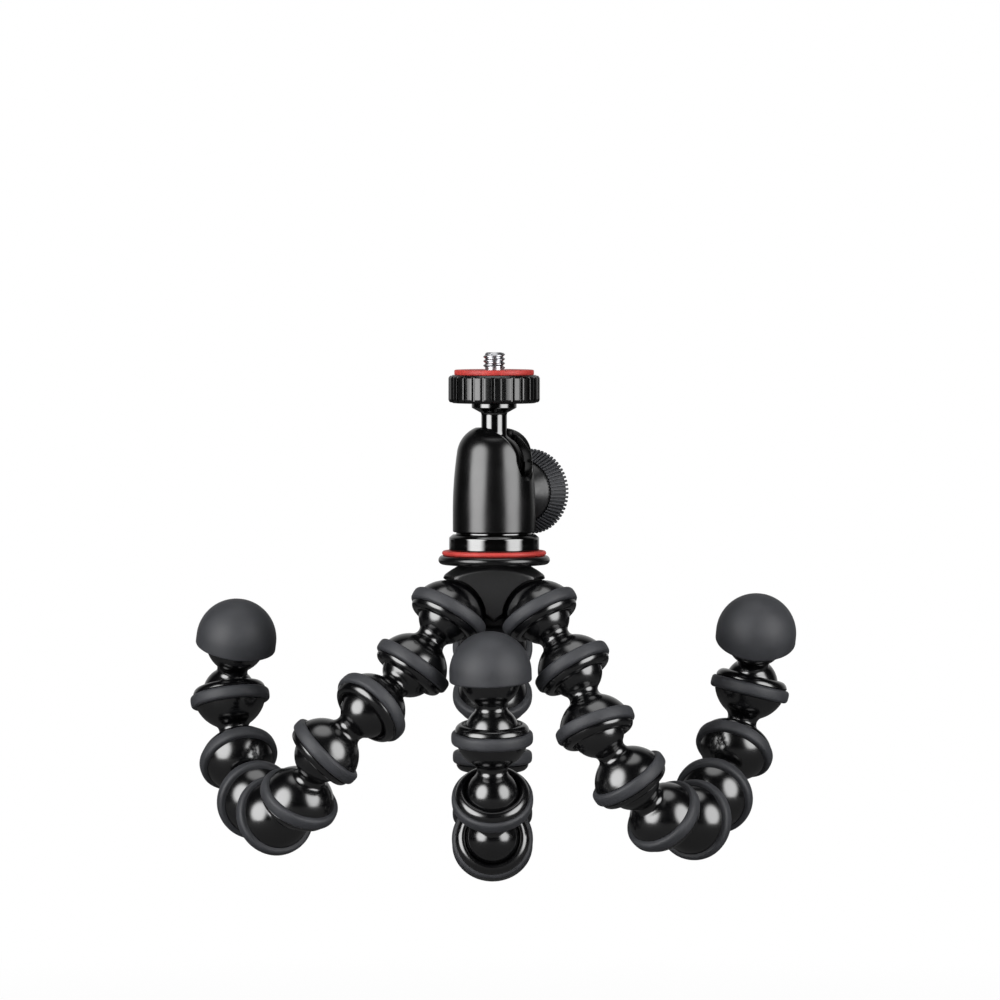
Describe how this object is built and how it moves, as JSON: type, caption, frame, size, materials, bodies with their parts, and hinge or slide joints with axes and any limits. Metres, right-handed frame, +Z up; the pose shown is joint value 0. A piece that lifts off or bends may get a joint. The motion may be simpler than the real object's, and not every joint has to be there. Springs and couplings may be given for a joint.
{
  "type": "flexible leg tripod",
  "caption": "Flexible tripod with ball-jointed legs wrapped round a rail, a socketed hub and a small ball head with a fluted lock disc and a side knob.",
  "frame": {"origin": "on the axis of the rail that the legs wrap, straight below the hub", "axes": "+X along the rail, +Z up towards the camera screw, +Y to the back, away from the hub"},
  "size_m": [0.1785, 0.0862, 0.1548],
  "materials": {
    "link_plastic": "gloss black",
    "grip_rubber": "matte dark grey",
    "red_rubber": "matte red",
    "head_metal": "black anodised",
    "steel": "satin",
    "brass": "plain",
    "seat_plastic": "natural"
  },
  "bodies": {
    "hub": {"hub_body": "link_plastic", "hub_grip_rings": "grip_rubber", "top_flange": "link_plastic", "friction_ring": "red_rubber", "pan_washer": "seat_plastic", "base_bolt": "steel", "bolt_washer": "steel"},
    "right_link_1": {"right_link_1": "link_plastic"},
    "right_link_2": {"right_link_2": "link_plastic"},
    "right_link_3": {"right_link_3": "link_plastic"},
    "right_link_4": {"right_link_4": "link_plastic"},
    "right_link_5": {"right_link_5": "link_plastic"},
    "right_link_6": {"right_link_6": "link_plastic"},
    "right_link_7": {"right_link_7": "link_plastic"},
    "right_link_8": {"right_link_8": "link_plastic"},
    "right_foot": {"right_foot_core": "link_plastic", "right_foot_cap": "grip_rubber"},
    "left_link_1": {"left_link_1": "link_plastic"},
    "left_link_2": {"left_link_2": "link_plastic"},
    "left_link_3": {"left_link_3": "link_plastic"},
    "left_link_4": {"left_link_4": "link_plastic"},
    "left_link_5": {"left_link_5": "link_plastic"},
    "left_link_6": {"left_link_6": "link_plastic"},
    "left_link_7": {"left_link_7": "link_plastic"},
    "left_link_8": {"left_link_8": "link_plastic"},
    "left_foot": {"left_foot_core": "link_plastic", "left_foot_cap": "grip_rubber"},
    "back_link_1": {"back_link_1": "link_plastic"},
    "back_link_2": {"back_link_2": "link_plastic"},
    "back_link_3": {"back_link_3": "link_plastic"},
    "back_link_4": {"back_link_4": "link_plastic"},
    "back_link_5": {"back_link_5": "link_plastic"},
    "back_link_6": {"back_link_6": "link_plastic"},
    "back_link_7": {"back_link_7": "link_plastic"},
    "back_link_8": {"back_link_8": "link_plastic"},
    "back_foot": {"back_foot_core": "link_plastic", "back_foot_cap": "grip_rubber"},
    "head": {"base_collar": "head_metal", "threaded_insert": "brass", "ball_housing": "head_metal", "ball_seat": "seat_plastic"},
    "ball_stud": {"ball_stud": "head_metal"},
    "camera_plate": {"lock_disc": "head_metal", "camera_pad": "red_rubber", "camera_screw": "steel"},
    "knob": {"knob_screw": "steel", "knob_core": "head_metal", "knob_grip": "grip_rubber"},
    "brake_plunger": {"brake_plunger": "steel"}
  },
  "joints": [
    {"name": "right_ball_1", "type": "hinge", "parent": "hub", "child": "right_link_1", "pos_m": [0.01386, -0.0175, 0.031], "axis": [0.1046, 0.9593, -0.2624], "range_deg": [-38, 3]},
    {"name": "right_ball_2", "type": "hinge", "parent": "right_link_1", "child": "right_link_2", "pos_m": [0.02319, -0.02267, 0.01576], "axis": [-0.1043, -0.9595, 0.2618], "range_deg": [-20, 50]},
    {"name": "right_ball_3", "type": "hinge", "parent": "right_link_2", "child": "right_link_3", "pos_m": [0.02943, -0.02791, -0.00095], "axis": [0.7966, -0.4243, 0.4306], "range_deg": [-69, 9]},
    {"name": "right_ball_4", "type": "hinge", "parent": "right_link_3", "child": "right_link_4", "pos_m": [0.03952, -0.02444, -0.01619], "axis": [-0.8298, 0.272, -0.4874], "range_deg": [-14, 64]},
    {"name": "right_ball_5", "type": "hinge", "parent": "right_link_4", "child": "right_link_5", "pos_m": [0.0497, -0.0139, -0.02764], "axis": [0.8321, -0.4473, 0.328], "range_deg": [-74, 4]},
    {"name": "right_ball_6", "type": "hinge", "parent": "right_link_5", "child": "right_link_6", "pos_m": [0.05897, 0.00215, -0.02926], "axis": [-0.8233, 0.439, -0.3597], "range_deg": [-12, 66]},
    {"name": "right_ball_7", "type": "hinge", "parent": "right_link_6", "child": "right_link_7", "pos_m": [0.06494, 0.01857, -0.0229], "axis": [0.9373, -0.2453, -0.2474], "range_deg": [-66, 12]},
    {"name": "right_ball_8", "type": "hinge", "parent": "right_link_7", "child": "right_link_8", "pos_m": [0.07141, 0.02976, -0.00952], "axis": [-0.9351, 0.2798, 0.2175], "range_deg": [-3, 75]},
    {"name": "right_ball_9", "type": "hinge", "parent": "right_link_8", "child": "right_foot", "pos_m": [0.07584, 0.03055, 0.00853], "axis": [0.9347, -0.2814, -0.2173], "range_deg": [-70, 8]},
    {"name": "left_ball_1", "type": "hinge", "parent": "hub", "child": "left_link_1", "pos_m": [-0.01386, -0.0175, 0.031], "axis": [-0.8216, 0.471, 0.3211], "range_deg": [-36, 41]},
    {"name": "left_ball_2", "type": "hinge", "parent": "left_link_1", "child": "left_link_2", "pos_m": [-0.02419, -0.02106, 0.01595], "axis": [0.7652, -0.4981, -0.4078], "range_deg": [-17, 61]},
    {"name": "left_ball_3", "type": "hinge", "parent": "left_link_2", "child": "left_link_3", "pos_m": [-0.03605, -0.03032, 0.00502], "axis": [0.6942, -0.0405, -0.7186], "range_deg": [-74, 4]},
    {"name": "left_ball_4", "type": "hinge", "parent": "left_link_3", "child": "left_link_4", "pos_m": [-0.04933, -0.02869, -0.0079], "axis": [-0.5422, 0.5585, 0.6278], "range_deg": [-9, 69]},
    {"name": "left_ball_5", "type": "hinge", "parent": "left_link_4", "child": "left_link_5", "pos_m": [-0.0567, -0.0196, -0.02236], "axis": [0.9072, 0.3391, -0.249], "range_deg": [-75, 3]},
    {"name": "left_ball_6", "type": "hinge", "parent": "left_link_5", "child": "left_link_6", "pos_m": [-0.06421, -0.00348, -0.02779], "axis": [-0.9123, -0.3586, 0.1979], "range_deg": [-9, 69]},
    {"name": "left_ball_7", "type": "hinge", "parent": "left_link_6", "child": "left_link_7", "pos_m": [-0.07014, 0.01373, -0.02393], "axis": [0.9469, 0.3, 0.1159], "range_deg": [-66, 12]},
    {"name": "left_ball_8", "type": "hinge", "parent": "left_link_7", "child": "left_link_8", "pos_m": [-0.07579, 0.02703, -0.01222], "axis": [-0.93, -0.3662, -0.0325], "range_deg": [-4, 74]},
    {"name": "left_ball_9", "type": "hinge", "parent": "left_link_8", "child": "left_foot", "pos_m": [-0.07819, 0.03156, 0.00566], "axis": [0.9001, 0.4355, 0.0109], "range_deg": [-74, 4]},
    {"name": "back_ball_1", "type": "hinge", "parent": "hub", "child": "back_link_1", "pos_m": [0, 0.0065, 0.031], "axis": [1, 0, 0], "range_deg": [0, 22]},
    {"name": "back_ball_2", "type": "hinge", "parent": "back_link_1", "child": "back_link_2", "pos_m": [-0.0005, 0.02074, 0.01904], "axis": [0.9947, 0.0843, 0.059], "range_deg": [0, 54]},
    {"name": "back_ball_3", "type": "hinge", "parent": "back_link_2", "child": "back_link_3", "pos_m": [-0.0005, 0.03141, 0.00381], "axis": [-1, 0, 0], "range_deg": [-72, 0]},
    {"name": "back_ball_4", "type": "hinge", "parent": "back_link_3", "child": "back_link_4", "pos_m": [-0.0005, 0.03206, -0.01478], "axis": [1, 0, 0], "range_deg": [0, 74]},
    {"name": "back_ball_5", "type": "hinge", "parent": "back_link_4", "child": "back_link_5", "pos_m": [-0.0005, 0.02193, -0.03038], "axis": [-1, 0, 0], "range_deg": [-74, 0]},
    {"name": "back_ball_6", "type": "hinge", "parent": "back_link_5", "child": "back_link_6", "pos_m": [-0.0005, 0.00468, -0.03735], "axis": [1, 0, 0], "range_deg": [0, 74]},
    {"name": "back_ball_7", "type": "hinge", "parent": "back_link_6", "child": "back_link_7", "pos_m": [-0.0005, -0.01344, -0.03316], "axis": [-1, 0, 0], "range_deg": [-72, 0]},
    {"name": "back_ball_8", "type": "hinge", "parent": "back_link_7", "child": "back_link_8", "pos_m": [-0.0005, -0.02636, -0.01978], "axis": [1, 0.0059, 0.0057], "range_deg": [0, 75]},
    {"name": "back_ball_9", "type": "hinge", "parent": "back_link_8", "child": "back_foot", "pos_m": [-0.00059, -0.02895, -0.00136], "axis": [1, 0.0059, 0.0057], "range_deg": [0, 40]},
    {"name": "head_pan", "type": "hinge", "parent": "hub", "child": "head", "pos_m": [0, -0.0095, 0.04988], "axis": [0, 0, 1], "continuous": true},
    {"name": "head_tilt", "type": "hinge", "parent": "head", "child": "ball_stud", "pos_m": [0, -0.0095, 0.07538], "axis": [0.515, 0.8572, 0], "range_deg": [-8, 90]},
    {"name": "disc_turn", "type": "hinge", "parent": "ball_stud", "child": "camera_plate", "pos_m": [0, -0.0095, 0.09238], "axis": [0, 0, 1], "continuous": true},
    {"name": "knob_turn", "type": "hinge", "parent": "head", "child": "knob", "pos_m": [0, -0.0095, 0.06618], "axis": [0.4848, 0.8746, 0], "range_deg": [0, 270]},
    {"name": "plunger_slide", "type": "slide", "parent": "head", "child": "brake_plunger", "axis": [0.4848, 0.8746, 0], "range_m": [0, 0.00075]}
  ],
  "couplings": [
    {"joint": "plunger_slide", "follows": "knob_turn", "m_per_rad": 0.000159}
  ]
}
